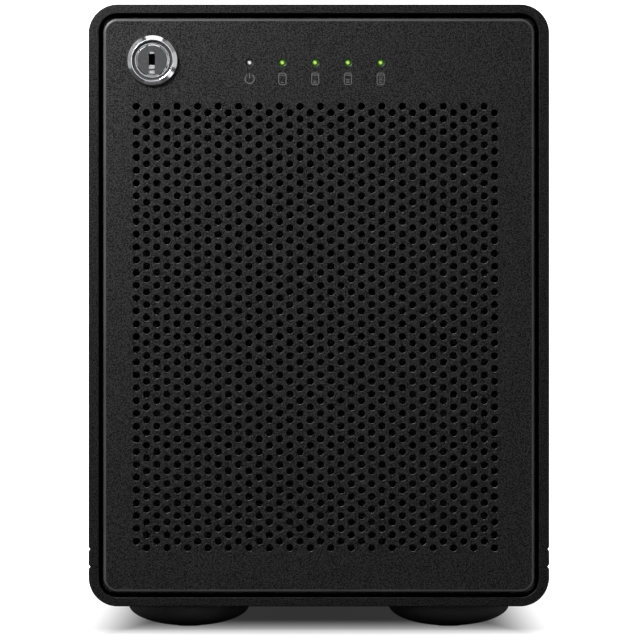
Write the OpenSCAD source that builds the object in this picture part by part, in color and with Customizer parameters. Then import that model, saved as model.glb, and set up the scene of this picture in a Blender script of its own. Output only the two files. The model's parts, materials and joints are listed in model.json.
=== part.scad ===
// Four-bay desktop storage enclosure with a lift-off perforated door.
// +X is to the right seen from the front, +Y runs towards the back and +Z is up.
// The origin is the centre of the outline's box, on the surface that the feet stand on.
// "Depth" always means the distance back from the casing's front edge.

/* [Casing] */
// Width of the casing
case_w = 135; // [135:0.5:142]
// Height of the casing without its feet
case_h = 176.4; // [176:0.2:180]
// Depth of the casing
case_d = 244; // [244:1:260]
// Outside radius of the casing's long corners
corner_r = 8.5; // [7.5:0.5:10]
// Thickness of the casing's sides
side_wall = 3; // [2.6:0.1:3.2]
// Thickness of the casing's top and bottom
top_wall = 2.6; // [2.2:0.1:3]
// Height of the seam between the two shells above the casing's underside
seam_up = 11.7; // [11:0.1:12.5]
// Distance from the seam up to the second groove
groove_step = 5.1; // [5:0.1:7]

/* [Feet] */
// Height of a foot
foot_h = 7; // [5:0.5:8]
// Diameter of a foot where it meets the casing
foot_d = 35.8; // [30:0.2:40]
// Distance of a foot's centre from the casing's centre line
foot_x = 38.6; // [34:0.2:40]
// Distance of a foot's centre from the casing's front or back edge
foot_inset = 30; // [25:1:40]

/* [Door] */
// Thickness of the door panel
door_t = 3; // [2:0.2:3]
// Depth of the door's face behind the casing's edge
door_recess = 0.8; // [0.4:0.1:1]
// Gap between the door and the casing's sides
door_gap_x = 1.2; // [1:0.1:1.6]
// Gap between the door and the casing's top and bottom
door_gap_z = 1.4; // [1:0.1:1.6]
// Diameter of a ventilation hole
vent_d = 2.1; // [1.6:0.1:2.4]
// Number of columns of ventilation holes
vent_columns = 36; // [20:1:36]
// Number of holes in one column
vent_rows = 35; // [20:1:35]
// Distance between neighbouring columns
vent_column_pitch = 3; // [2.8:0.1:3]
// Distance between holes in one column
vent_row_pitch = 3.75; // [3.5:0.05:3.75]

/* [Lock and lights] */
// Diameter of the lock's flange
lock_d = 14.8; // [14:0.2:16]
// Distance of the lock's axis from the casing's left side
lock_from_side = 18.7; // [18:0.1:20]
// Distance of the lock's axis below the casing's top
lock_from_top = 16.4; // [16:0.1:17]
// Radius that the lock's cam reaches
cam_reach = 12.5; // [11:0.1:12.5]
// Diameter of a light pipe
pipe_d = 1.7; // [1.4:0.1:2]
// Distance between neighbouring light pipes
pipe_pitch = 9.6; // [9:0.1:10]
// Distance of the light pipes below the casing's top
pipe_from_top = 17.05; // [16:0.05:18]

/* [Drive bays] */
// Distance between neighbouring bays
bay_pitch = 32; // [31.8:0.1:32]
// Height of a drive
drive_h = 26.1; // [20:0.1:26.1]
// Length of a drive
drive_l = 147; // [140:1:147]

/* [Hidden] */
$fn = 48;
slip = 0.05; // radial clearance of a part that turns or slides in a bore
air = 0.1; // gap between faces that only meet, and overlap of solids that are one piece
cut = 1; // how far a cutter runs past the face that it cuts
sheet = 1.2; // sheet metal of the cage and trays
plate = 1.5; // sheet metal of the front and rear panels
bays = 4;
drive_w = 101.6; // width of a 3.5 inch drive

// Casing.
lock_proud = 1; // how far the lock's flange stands in front of the casing
y_front = (lock_proud - case_d) / 2;
z_under = foot_h;
z_top = foot_h + case_h;
z_mid = (z_under + z_top) / 2;
z_floor = z_under + top_wall;
z_ceiling = z_top - top_wall;
z_seam = z_under + seam_up;
inner_w = case_w - 2 * side_wall;
inner_h = case_h - 2 * top_wall;
inner_r = corner_r - side_wall;
panel_fit = 0.5; // gap round the front frame and the rear panel
groove_w = 1.2;
groove_depth = 0.45;
lip_t = 1.2; // thickness of the base's lip, which stands inside the cover
lip_up = 4; // height of the lip above the seam
boss_r = 4;
boss_x = inner_w / 2 - 3.7;
boss_z = [z_floor + 3.7, z_ceiling - 3.7];

// Feet.
foot_flat_r = 3; // flat patch that touches the ground
foot_rim = 0.6; // upright band round the top of a foot
foot_spigot_r = 3;
foot_screw_r = 1.5;
foot_steps = 12; // straight pieces in the dome's outline

// Depths of the parts behind the door.
door_back = door_recess + door_t;
backing_d0 = door_back + air;
backing_d1 = backing_d0 + 3.4;
tray_face = 12;
frame_d0 = 13.1;
frame_d1 = frame_d0 + plate;
cage_d0 = 15;
drive_d0 = 16;
drive_d1 = drive_d0 + drive_l;
backplane_d0 = 170;
backplane_d1 = backplane_d0 + 1.6;
rear_d1 = case_d - 2;
rear_d0 = rear_d1 - plate;
front_cut = [0, 30]; // depths that a cutter spans to pass through the plates at the front
rear_cut = [rear_d0 - 5, case_d + cut]; // the same for the plates at the back

// Door.
door_w = inner_w - 2 * door_gap_x;
door_h = inner_h - 2 * door_gap_z;
door_r = inner_r - door_gap_x;
backing_rim = 2.5; // how far the door overhangs its backing
vent_margin = 2.4; // solid border round the hole field in the backing's window
vent_x = -1; // the hole field sits this far off the centre line
vent_from_top = 29.9;
vent_w = (vent_columns - 1) * vent_column_pitch;
vent_h = (vent_rows - 0.5) * vent_row_pitch;
stud_x = [-36, 36];
stud_z = [z_under + 9, z_top - 7.2];
stud_r = 2;
catch_r = 3;

// Lock.
lock_x = lock_from_side - case_w / 2;
lock_z = z_top - lock_from_top;
plug_r = 4.75;
barrel_r = 5.9;
barrel_end = 16;
nut_r = 8.2;
cam_d0 = barrel_end + air;
cam_d1 = cam_d0 + 2;
cam_w = 8;
spigot_r = 3.8;
spigot_flats = 5.4;

// Lights.
pipe_z = z_top - pipe_from_top;
power_pipe_x = -20.3;
drive_pipe_x = [for (i = [1:bays]) power_pipe_x + i * pipe_pitch];
pipe_sink_r = 1.3; // countersink round each light in the door's face
pipe_sink = 0.45;
led_board_d = 17; // front of the board that carries the lights

// Cage. Bay 1 is the top one.
bay_bottom = z_under + 15.5;
bay_top = bay_bottom + bays * bay_pitch;
opening_x = 59; // half width of the opening that the trays pass through
cage_x = 61; // inside face of the cage's sides
cage_d1 = backplane_d0 - 2;
cage_z = [bay_bottom - 1.1, bay_top + 0.9];
tray_x = 58; // half width of a tray's floor
tray_face_x = tray_x + 0.3;
tray_gap = 0.8; // above and below a tray's face
tray_up = 3; // height of a tray's floor in its bay
tray_side_up = 14; // height of a tray's sides in its bay
sled_x = drive_w / 2 + 0.4; // inside face of a tray's sides
drive_up = tray_up + sheet + air;
drive_screw_up = drive_up + 6.35;
drive_screw_back = [28.5, 130.1]; // drive screws ahead of the drive's back end
drive_screw_r = 1.6;
thumb_x = 54.6;
thumb_up = 19;
thumb_r = 1.5;
rail_x = cage_x - 6;
rail_d = [17, 165];
deck_z0 = bay_top + 1;
deck_z1 = deck_z0 + sheet;
board_z0 = deck_z1 + 4.8;
board_z1 = board_z0 + 1.6;
board_x = 55;
board_d = [30, rear_d0 - 1];
ribbon_t = 0.8;

// Back.
port_d = [rear_d0 - 20, rear_d1 + 0.4];
network_x = [-40, -7];
network_z = [board_z1, board_z1 + 13.6];
usb_x = [4, 18.4];
usb_z = [board_z1, board_z1 + 14.8];
fan_size = 80;
fan_t = 25;
fan_z = z_under + 92.5;
fan_pitch = 71.5;
fan_bore_r = 38.5;
fan_d1 = rear_d0 - air;
fan_d0 = fan_d1 - fan_t;
fan_screw_r = 2.05;
fan_shaft_r = 1.5;
motor_r = 16;
blades = 7;
fan_hole_pitch = 5.2;
fan_hole_r = 2.1;
fan_hole_rows = 8; // rows of holes above and below the fan's centre
security_slot = [48, fan_z]; // middle of the slot for a cable lock
psu_d0 = 178;
psu_x = 55; // half width of the power supply
psu_z = [z_floor + 2, z_under + 44.5];
psu_skin = 1;
socket_z = z_under + 24.5; // height of the power inlet and the switch
inlet_x = 22;
inlet_w = 27.4;
inlet_h = 19.8;
switch_x = -6;
switch_w = 13;
switch_h = 19;
mouth_fit = 0.3; // gap round each socket in the rear panel
lead_x = 49;
lead_r = 3;
pivot_d = rear_d1 - 5.6; // depth of the rocker's pivot
pivot_r = 1.5;
rocker_w = 10.4;
rocker_rest = 7; // angle of the rocker's middle plane when one half is pressed

function span(middle, width) = [middle - width / 2, middle + width / 2];
function between(a, b) = [min(a, b), max(a, b)];
function bay_z(n) = bay_bottom + (bays - n) * bay_pitch;

module box(x, d, z)
    translate([x[0], y_front + d[0], z[0]])
        cube([x[1] - x[0], d[1] - d[0], z[1] - z[0]]);

// A round bar along Y between two depths; the front end can have its own radius.
module rod(x, z, d, r, r_front = -1)
    translate([x, y_front + d[1], z])
        rotate([90, 0, 0])
            cylinder(h = d[1] - d[0], r1 = r, r2 = r_front < 0 ? r : r_front);

// Extrudes an outline drawn as seen from the front between two depths.
module slab(d, x = 0, z = 0)
    translate([x, y_front + d[1], z])
        rotate([90, 0, 0])
            linear_extrude(d[1] - d[0]) children();

module rounded_rect(w, h, r) {
    square([w - 2 * r, h], center = true);
    square([w, h - 2 * r], center = true);
    for (sx = [-1, 1], sz = [-1, 1])
        translate([sx * (w / 2 - r), sz * (h / 2 - r)]) circle(r);
}

module both_sides()
    for (side = [0, 1]) mirror([side, 0, 0]) children();

// Pan-head screw along Y. Its head rests on the depth seat; the shank points along dir.
module pan_screw(x, z, seat, dir, length, head_r = 2.8, shank_r = 1.25) {
    head_h = 1.5;
    difference() {
        union() {
            rod(x, z, between(seat, seat - dir * head_h), head_r);
            rod(x, z, between(seat - dir * air, seat + dir * length), shank_r);
        }
        for (turn = [20, 110])
            translate([x, y_front + seat - dir * head_h, z])
                rotate([0, turn, 0]) cube([head_r, 2, 0.7], center = true);
    }
}

// ---------- casing ----------

module casing_tube()
    slab([0, case_d], 0, z_mid) difference() {
        rounded_rect(case_w, case_h, corner_r);
        rounded_rect(inner_w, inner_h, inner_r);
    }

// A V groove that runs along both sides of the casing.
module side_groove(z)
    both_sides() slab([-cut, case_d + cut], case_w / 2, z)
        polygon([[air, -groove_w / 2 - air], [air, groove_w / 2 + air], [-groove_depth, 0]]);

module panel_outline()
    rounded_rect(inner_w - 2 * panel_fit, inner_h - 2 * panel_fit, inner_r - panel_fit);

module at_bosses()
    for (z = boss_z) both_sides() translate([boss_x, 0, z]) children();

module boss(z)
    both_sides() rod(boss_x, z, [frame_d1 + 0.4, rear_d0 - 0.4], boss_r);

module boss_bore(z)
    both_sides() rod(boss_x, z, [0, case_d], 1.3);

module cover_shell()
    color("#232324") difference() {
        union() {
            casing_tube();
            boss(boss_z[1]);
        }
        box([-case_w, case_w], [-cut, case_d + cut], [-cut, z_seam]);
        side_groove(z_seam);
        side_groove(z_seam + groove_step);
        both_sides() box([inner_w / 2 - cut, inner_w / 2 + lip_t + air], [-cut, case_d + cut],
                         [0, z_seam + lip_up + air]);
        boss_bore(boss_z[1]);
    }

module base_shell()
    color("#232324") difference() {
        union() {
            difference() {
                casing_tube();
                box([-case_w, case_w], [-cut, case_d + cut], [z_seam - air / 2, z_top + cut]);
            }
            both_sides() box([inner_w / 2, inner_w / 2 + lip_t], [0, case_d],
                             [z_floor + 3, z_seam + lip_up]);
            boss(boss_z[0]);
        }
        side_groove(z_seam);
        boss_bore(boss_z[0]);
        at_feet() translate([0, 0, z_under - cut])
            cylinder(h = top_wall + 2 * cut, r = foot_spigot_r + air);
    }

// ---------- feet ----------

module at_feet()
    for (x = [-foot_x, foot_x], d = [foot_inset, case_d - foot_inset])
        translate([x, y_front + d, 0]) children();

// A spot on a foot's outline, which is a quarter of an ellipse: 0 is underneath, 90 at the rim.
function dome(angle) =
    [foot_d / 2 * sin(angle), (foot_h - foot_rim) * (1 - cos(angle))];

module feet()
    color("#161616") at_feet() difference() {
        union() {
            rotate_extrude() polygon(concat(
                [[foot_d / 2, foot_h], [0, foot_h], [0, 0], [foot_flat_r, 0]],
                [for (i = [2:foot_steps]) dome(90 * i / foot_steps)]));
            cylinder(h = z_floor - air, r = foot_spigot_r);
        }
        translate([0, 0, 2]) cylinder(h = z_floor, r = foot_screw_r);
    }

module foot_screws()
    color("silver") at_feet() {
        translate([0, 0, z_floor]) cylinder(h = 1.6, r = 4);
        translate([0, 0, 2.5]) cylinder(h = z_floor - 2, r = foot_screw_r - slip);
    }

// ---------- chassis behind the door ----------

module front_frame()
    color("#2c2d2f") difference() {
        slab([frame_d0, frame_d1], 0, z_mid) panel_outline();
        box([-opening_x, opening_x], front_cut, [bay_bottom + 0.3, bay_top - 0.3]);
        rod(lock_x, lock_z, front_cut, 7.5);
        box(span(lock_x, cam_w + 1.2), front_cut, [lock_z - cam_reach - 1, lock_z]);
        box([power_pipe_x - 4, drive_pipe_x[bays - 1] + 4], front_cut, span(pipe_z, 6));
        for (x = stud_x, z = stud_z) rod(x, z, front_cut, catch_r + slip);
        at_bosses() rod(0, 0, front_cut, 1.6);
    }

module frame_screws()
    color("silver") at_bosses() pan_screw(0, 0, frame_d0, 1, 9);

module stud_catches()
    color("#1b1b1c") for (x = stud_x, z = stud_z) difference() {
        union() {
            rod(x, z, [frame_d0 - 1, frame_d0], catch_r + 1);
            rod(x, z, [frame_d0 - air, frame_d0 + 7], catch_r);
        }
        rod(x, z, front_cut, stud_r + slip);
    }

module lock_strike()
    color("silver")
        box([-inner_w / 2 + 1, lock_x - 8], [frame_d1, barrel_end - slip], span(lock_z, 11));

// ---------- drive cage ----------

module cage_side() difference() {
    box([cage_x, cage_x + sheet], [cage_d0, cage_d1], cage_z);
    for (n = [1:bays], d = [30, 78, 126])
        box([cage_x - cut, cage_x + sheet + cut], [d, d + 34], [bay_z(n) + 12, bay_z(n) + 26]);
}

module cage_left()
    color("silver") mirror([1, 0, 0]) cage_side();

// The right side carries a tab in each bay for the tray's thumbscrew.
module cage_right()
    color("silver") difference() {
        union() {
            cage_side();
            for (n = [1:bays])
                box([sled_x + 0.4, cage_x + air], [cage_d0, cage_d0 + plate],
                    span(bay_z(n) + thumb_up, 9.6));
        }
        for (n = [1:bays]) rod(thumb_x, bay_z(n) + thumb_up, front_cut, thumb_r + slip);
    }

module guide_rails()
    color("#e8e6dc") for (n = [1:bays]) both_sides() difference() {
        box([rail_x, cage_x], rail_d, [bay_z(n) + 0.5, bay_z(n) + 7]);
        box([rail_x - cut, tray_x + 0.4], [0, case_d],
            [bay_z(n) + tray_up - 0.3, bay_z(n) + tray_up + sheet + 0.3]);
    }

module cage_floor()
    color("silver") {
        box([-cage_x - sheet, cage_x + sheet], [cage_d0, backplane_d0 + 4],
            [cage_z[0] - sheet, cage_z[0]]);
        both_sides() box([54, 54 + sheet], [cage_d0, backplane_d0 + 4], [z_floor, cage_z[0] - air]);
    }

module top_deck()
    color("silver") difference() {
        box([-cage_x - sheet, cage_x + sheet], [cage_d0 + 1, rear_d0], [deck_z0, deck_z1]);
        box([-17, 17], [backplane_d0 + 1, backplane_d0 + 4], [deck_z0 - cut, deck_z1 + cut]);
        for (x = [-45:18:45], d = [40, 95])
            box(span(x, 10), [d, d + 40], [deck_z0 - cut, deck_z1 + cut]);
    }

module backplane_board()
    color("#1d5a32") difference() {
        box([-56, 56], [backplane_d0, backplane_d1], [bay_bottom + 3, bay_top - 3]);
        for (n = [1:bays], x = [-44, -20, 4, 28])
            box([x, x + 16], [backplane_d0 - cut, backplane_d1 + cut],
                [bay_z(n) + 17, bay_z(n) + 27]);
    }

drive_socket_w = 44;

module drive_sockets()
    color("#18181a") for (n = [1:bays]) difference() {
        box(span(0, drive_socket_w), [drive_d1 - 4, backplane_d0], [bay_z(n) + 6, bay_z(n) + 11.5]);
        box(span(0, drive_socket_w - 4), [drive_d1 - 5, drive_d1 + 1],
            [bay_z(n) + 8, bay_z(n) + 9.6]);
    }

module signal_ribbon()
    color("#5a5d60")
        box([-15, 15], [backplane_d1, backplane_d1 + ribbon_t], [bay_top - 10, board_z0]);

// ---------- electronics above the bays ----------

module at_standoffs()
    for (x = [-50, 50], d = [36, 230]) translate([x, y_front + d, 0]) children();

module main_board()
    color("#1d5a32") difference() {
        union() {
            box([-board_x, board_x], board_d, [board_z0, board_z1]);
            box([10, 46], [110, 146], [board_z1 - air, board_z1 + 1.6]);
            box([-50, -20], [70, 82], [board_z1 - air, board_z1 + 3.4]);
        }
        at_standoffs() translate([0, 0, board_z0 - cut]) cylinder(h = 4, r = 1.7);
    }

module processor_heatsink()
    color("#a9abae") {
        box([-36, -2], [104, 144], [board_z1, board_z1 + 3]);
        for (x = [-36:4:-4]) box([x, x + 1.5], [104, 144], [board_z1 + 3 - air, board_z1 + 15.4]);
    }

module board_standoffs()
    color("#c9a45c") at_standoffs() translate([0, 0, deck_z1]) {
        cylinder(h = board_z0 - deck_z1, r = 2.6, $fn = 6);
        cylinder(h = board_z0 - deck_z1 + 3, r = 1.5);
    }

module network_ports()
    color("silver") difference() {
        box(network_x, port_d, network_z);
        for (x = [network_x[0] + 8, network_x[1] - 7.7]) {
            box(span(x, 12.6), [rear_d0 - 13, case_d], [network_z[0] + 2.4, network_z[0] + 10]);
            box(span(x, 6), [rear_d0 - 13, case_d], [network_z[0] + 9.9, network_z[0] + 12.2]);
        }
    }

module usb_ports()
    color("silver") difference() {
        box(usb_x, port_d, usb_z);
        for (up = [1.4, 8.4])
            box([usb_x[0] + 0.8, usb_x[1] - 0.8], [rear_d0 - 12, case_d],
                [usb_z[0] + up, usb_z[0] + up + 5.2]);
    }

module led_board()
    color("#1d5a32")
        box([power_pipe_x - 6, drive_pipe_x[bays - 1] + 6], [led_board_d, led_board_d + 1.6],
            [pipe_z - 7, pipe_z + 5]);

module status_leds()
    color("#dfe6d8") for (x = concat([power_pipe_x], drive_pipe_x)) {
        rod(x, pipe_z, [led_board_d - 3, led_board_d], 1.5);
        rod(x, pipe_z, [led_board_d - 1, led_board_d], 1.9);
    }

module led_ribbon()
    color("#5a5d60") {
        box([-6, 6], [led_board_d + 1.6, led_board_d + 1.6 + ribbon_t], [board_z1 + air, pipe_z]);
        box([-6, 6], [led_board_d + 1.6, 40], [board_z1 + air, board_z1 + air + ribbon_t]);
    }

// ---------- rear panel, fan and power ----------

module at_fan_corners()
    for (x = span(0, fan_pitch), z = span(fan_z, fan_pitch)) translate([x, 0, z]) children();

// Round holes on a triangular grid, kept where they open into the fan's bore.
module fan_holes()
    for (row = [-fan_hole_rows:fan_hole_rows], i = [-fan_hole_rows:fan_hole_rows]) {
        x = (i + (abs(row) % 2) / 2) * fan_hole_pitch;
        z = row * fan_hole_pitch * sqrt(3) / 2;
        if (norm([x, z]) < fan_bore_r - fan_hole_r) rod(x, fan_z + z, rear_cut, fan_hole_r);
    }

// Mouths of the inlet and the switch, and the power supply's air slots.
module power_mouths(fit) {
    box(span(inlet_x, inlet_w + 2 * fit), rear_cut, span(socket_z, inlet_h + 2 * fit));
    box(span(switch_x, switch_w + 2 * fit), rear_cut, span(socket_z, switch_h + 2 * fit));
    for (x = [-50:5:-25], z = [socket_z - 6, socket_z + 6])
        box(span(x, 2.4), rear_cut, span(z, 10));
}

module rear_panel()
    color("#232324") difference() {
        slab([rear_d0, rear_d1], 0, z_mid) panel_outline();
        fan_holes();
        at_fan_corners() rod(0, 0, rear_cut, fan_screw_r + slip);
        box([network_x[0] - mouth_fit, network_x[1] + mouth_fit], rear_cut,
            [network_z[0] - mouth_fit, network_z[1] + mouth_fit]);
        box([usb_x[0] - mouth_fit, usb_x[1] + mouth_fit], rear_cut,
            [usb_z[0] - mouth_fit, usb_z[1] + mouth_fit]);
        power_mouths(mouth_fit);
        box(span(security_slot[0], 3.2), rear_cut, span(security_slot[1], 7.2));
        at_bosses() rod(0, 0, rear_cut, 1.6);
    }

module rear_panel_screws()
    color("#333333") at_bosses() pan_screw(0, 0, rear_d1, -1, 9);

module fan_screws()
    color("#333333") at_fan_corners() pan_screw(0, 0, rear_d1, -1, 8, 3.3, fan_screw_r);

module fan_frame()
    color("#1a1a1b") translate([0, 0, fan_z]) difference() {
        union() {
            difference() {
                slab([fan_d0, fan_d1]) rounded_rect(fan_size, fan_size, 4);
                rod(0, 0, [fan_d0 - cut, fan_d1 + cut], fan_bore_r);
            }
            rod(0, 0, [fan_d1 - 3, fan_d1], motor_r);
            rod(0, 0, [fan_d0 + 8, fan_d1 - 2.9], 5);
            for (turn = [45:90:315]) rotate([0, turn, 0])
                box([motor_r - 2, fan_bore_r + 1.5], [fan_d1 - 3, fan_d1], [-2, 2]);
        }
        for (x = span(0, fan_pitch), z = span(0, fan_pitch))
            rod(x, z, [fan_d0 - cut, fan_d1 + cut], fan_screw_r + slip);
        rod(0, 0, [fan_d0 + 7, fan_d1 - 3], fan_shaft_r + slip);
    }

module fan_rotor()
    color("#1a1a1b") translate([0, 0, fan_z]) {
        difference() {
            rod(0, 0, [fan_d0 + 3, fan_d1 - 5], motor_r + 1);
            rod(0, 0, [fan_d0 + 5, fan_d1], motor_r - 1);
        }
        rod(0, 0, [fan_d0 + 4.9, fan_d1 - 6], fan_shaft_r);
        intersection() {
            difference() {
                rod(0, 0, [fan_d0 + 3.5, fan_d1 - 5.5], fan_bore_r - 1);
                rod(0, 0, [fan_d0, fan_d1], motor_r + 0.5);
            }
            for (i = [1:blades]) rotate([0, i * 360 / blades, 0])
                translate([28, y_front + fan_d0 + 11.5, 0]) rotate([38, 0, 0])
                    cube([30, 1.6, 26], center = true);
        }
    }

module power_supply_case()
    color("#a9abae") difference() {
        box([-psu_x, psu_x], [psu_d0, rear_d0], psu_z);
        box([-psu_x + psu_skin, psu_x - psu_skin], [psu_d0 + psu_skin, rear_d0 - psu_skin],
            [psu_z[0] + psu_skin, psu_z[1] - psu_skin]);
        power_mouths(mouth_fit);
        for (x = [-48:6:36])
            box(span(x, 3), [psu_d0 - cut, psu_d0 + psu_skin + cut], span(socket_z, 24));
        rod(lead_x, socket_z, [psu_d0 - cut, psu_d0 + psu_skin + cut], lead_r + air);
    }

module power_inlet()
    color("#161616") {
        difference() {
            union() {
                slab([rear_d1, rear_d1 + 1.6], inlet_x, socket_z) rounded_rect(31, 24, 3);
                box(span(inlet_x, inlet_w), [rear_d0 - 18, rear_d1 + air], span(socket_z, inlet_h));
            }
            box(span(inlet_x, inlet_w - 3), [rear_d0 - 15, case_d + cut],
                span(socket_z, inlet_h - 3.4));
        }
        for (pin = [[-7, -2], [0, 2], [7, -2]])
            box(span(inlet_x + pin[0], 2), [rear_d0 - 15 - air, rear_d1 - 4],
                span(socket_z + pin[1], 4));
    }

module power_lead()
    color("#c8b13a") {
        rod(lead_x, socket_z, [backplane_d1, psu_d0 + 12], lead_r);
        box([lead_x - 6, lead_x + 6.9], [backplane_d1, backplane_d1 + 3.4], span(socket_z, 10));
    }

module switch_housing()
    color("#161616") difference() {
        union() {
            box(span(switch_x, switch_w + 1.8), [rear_d1, rear_d1 + 0.8],
                span(socket_z, switch_h + 2.2));
            box(span(switch_x, switch_w), [rear_d0 - 16, rear_d1 + air], span(socket_z, switch_h));
        }
        box(span(switch_x, rocker_w + 0.4), [rear_d0 - 11, case_d], span(socket_z, 17.2));
        translate([switch_x - 6.2, y_front + pivot_d, socket_z]) rotate([0, 90, 0])
            cylinder(h = 12.4, r = pivot_r + slip);
    }

// The two faces of the rocker meet at its middle; the pressed half lies flush with the housing.
module switch_rocker()
    color("#262627") translate([switch_x, y_front + pivot_d, socket_z])
        rotate([rocker_rest, 0, 0]) {
            rotate([90, 0, 90]) translate([0, 0, -rocker_w / 2]) linear_extrude(rocker_w)
                polygon([[-2, -4], [5.6, -7.6], [6.4, -7.6], [5.2, 0], [6.4, 7.6], [5.6, 7.6], [-2, 4]]);
            translate([-6, 0, 0]) rotate([0, 90, 0]) cylinder(h = 12, r = pivot_r);
        }

// ---------- door ----------

module vents()
    for (c = [0:vent_columns - 1], i = [0:vent_rows - 1])
        rod(vent_x - vent_w / 2 + c * vent_column_pitch,
            z_top - vent_from_top - (i + (c % 2) / 2) * vent_row_pitch,
            [0, door_back + cut], vent_d / 2);

module at_pipes()
    for (x = concat([power_pipe_x], drive_pipe_x)) translate([x, 0, pipe_z]) children();

module door_panel()
    color("#27282a") difference() {
        slab([door_recess, door_back], 0, z_mid) rounded_rect(door_w, door_h, door_r);
        vents();
        at_pipes() {
            rod(0, 0, [0, door_back + cut], pipe_d / 2 + slip);
            rod(0, 0, [door_recess - air, door_recess + pipe_sink], pipe_d / 2 + slip, pipe_sink_r);
        }
        rod(lock_x, lock_z, [0, door_back + cut], barrel_r + air);
    }

module door_backing()
    color("#1b1b1c") difference() {
        slab([backing_d0, backing_d1], 0, z_mid)
            rounded_rect(door_w - 2 * backing_rim, door_h - 2 * backing_rim, 2.5);
        box(span(vent_x, vent_w + 2 * vent_margin), front_cut,
            [z_top - vent_from_top - vent_h - vent_margin, z_top - vent_from_top + vent_margin]);
        at_pipes() rod(0, 0, front_cut, pipe_d / 2 + slip);
        rod(lock_x, lock_z, front_cut, nut_r + 1);
    }

module door_studs()
    color("#c9a45c") for (x = stud_x, z = stud_z) {
        rod(x, z, [backing_d1, backing_d1 + 1.2], stud_r + 1.2);
        rod(x, z, [backing_d1 + 1.1, frame_d0 + 4], stud_r);
        rod(x, z, [frame_d0 + 4 - air, frame_d0 + 5.5], 1, stud_r - 0.01);
    }

module light_pipe() {
    rod(0, 0, [door_recess - air, led_board_d - 4], pipe_d / 2);
    rod(0, 0, [backing_d1, backing_d1 + 1], pipe_d / 2 + 0.75);
}

module power_light_pipe()
    color("#f2f4f5") translate([power_pipe_x, 0, pipe_z]) light_pipe();

module drive_light_pipes()
    color("#8fd02a") for (x = drive_pipe_x) translate([x, 0, pipe_z]) light_pipe();

module lock_body()
    color("#d7d9db") difference() {
        union() {
            rod(lock_x, lock_z, [-lock_proud, 0.3], lock_d / 2, lock_d / 2 - 1.5);
            rod(lock_x, lock_z, [0.3 - air, door_recess], lock_d / 2);
            rod(lock_x, lock_z, [door_recess - air, barrel_end], barrel_r);
        }
        rod(lock_x, lock_z, [-2, -lock_proud + 0.6], plug_r + 0.7);
        rod(lock_x, lock_z, [-2, barrel_end + cut], plug_r + slip);
    }

module lock_nut()
    color("#b9bbbe") difference() {
        slab([door_back + air, backing_d1], lock_x, lock_z) circle(nut_r, $fn = 6);
        rod(lock_x, lock_z, front_cut, barrel_r + slip);
    }

// The end of the plug that drives the cam: a disc with two flats.
module spigot(d, fit) intersection() {
    rod(lock_x, lock_z, d, spigot_r + fit);
    box(span(lock_x, spigot_flats + 2 * fit), [d[0] - cut, d[1] + cut], span(lock_z, 12));
}

module lock_plug()
    color("#6e7073") difference() {
        union() {
            rod(lock_x, lock_z, [-lock_proud + 0.3, barrel_end], plug_r);
            spigot([barrel_end - 0.5, cam_d1 + air], 0);
        }
        box([lock_x - 0.95, lock_x + 0.95], [-2, 11], [lock_z - 4, lock_z + 2.6]);
        rod(lock_x, lock_z, [12.4, 30], 1.25);
    }

module lock_cam()
    color("#c2c4c6") difference() {
        union() {
            rod(lock_x, lock_z, [cam_d0, cam_d1], 5.5);
            box(span(lock_x, cam_w), [cam_d0, cam_d1], [lock_z - cam_reach + cam_w / 2, lock_z]);
            rod(lock_x, lock_z - cam_reach + cam_w / 2, [cam_d0, cam_d1], cam_w / 2);
        }
        spigot([cam_d0 - cut, cam_d1 + cut], slip);
    }

module cam_screw()
    color("silver") {
        rod(lock_x, lock_z, [cam_d1 + air, cam_d1 + 1.8], 4.4);
        rod(lock_x, lock_z, [12.5, cam_d1 + 0.2], 1.25 - slip);
    }

// ---------- trays and drives ----------

// Puts a screw's axis, pointing outwards along its local Z, at each side hole of drive n.
module at_drive_screws(n)
    for (side = [-1, 1], back = drive_screw_back)
        translate([side * sled_x, y_front + drive_d1 - back, bay_z(n) + drive_screw_up])
            rotate([0, side * 90, 0]) children();

// Upright air slots in a tray's face, clear of its handle and its thumbscrew.
module tray_slots(z) {
    for (x = [-44:8:44]) if (abs(x) > 22) box(span(x, 4), front_cut, [z + 6, z + 27]);
    for (x = [-16:8:16]) {
        box(span(x, 4), front_cut, [z + 6, z + 11]);
        box(span(x, 4), front_cut, [z + 18, z + 27]);
    }
}

module tray(n) {
    z = bay_z(n);
    color("#3a3b3d") difference() {
        union() {
            box([-tray_x, tray_x], [tray_face, drive_d1], [z + tray_up, z + tray_up + sheet]);
            both_sides() box([sled_x, sled_x + sheet], [tray_face, drive_d1],
                             [z + tray_up, z + tray_side_up]);
            box([-tray_face_x, tray_face_x], [tray_face, tray_face + plate],
                [z + tray_gap, z + bay_pitch - tray_gap]);
            box([-20, 20], [tray_face - 3.2, tray_face + air], [z + 13, z + 14.6]);
        }
        for (x = [-26, 0, 26]) box(span(x, 23), [34, 150], [z, z + 5]);
        tray_slots(z);
        rod(thumb_x, z + thumb_up, front_cut, thumb_r + 0.2);
        at_drive_screws(n) cylinder(h = 20, r = drive_screw_r + 0.3, center = true);
    }
}

module tray_thumbscrew(n) {
    head = [tray_face - 3.5, tray_face - air];
    color("#b9bbbe") difference() {
        union() {
            rod(thumb_x, bay_z(n) + thumb_up, head, 3.5);
            rod(thumb_x, bay_z(n) + thumb_up, [head[1] - air, tray_face + 8], thumb_r);
        }
        translate([thumb_x, y_front + head[0], bay_z(n) + thumb_up])
            cube([5, 1.6, 0.9], center = true);
    }
}

module tray_screws(n)
    color("silver") at_drive_screws(n) {
        translate([0, 0, sheet]) cylinder(h = 1.3, r = 3);
        translate([0, 0, -3.4]) cylinder(h = sheet + 3.5, r = drive_screw_r);
    }

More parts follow.
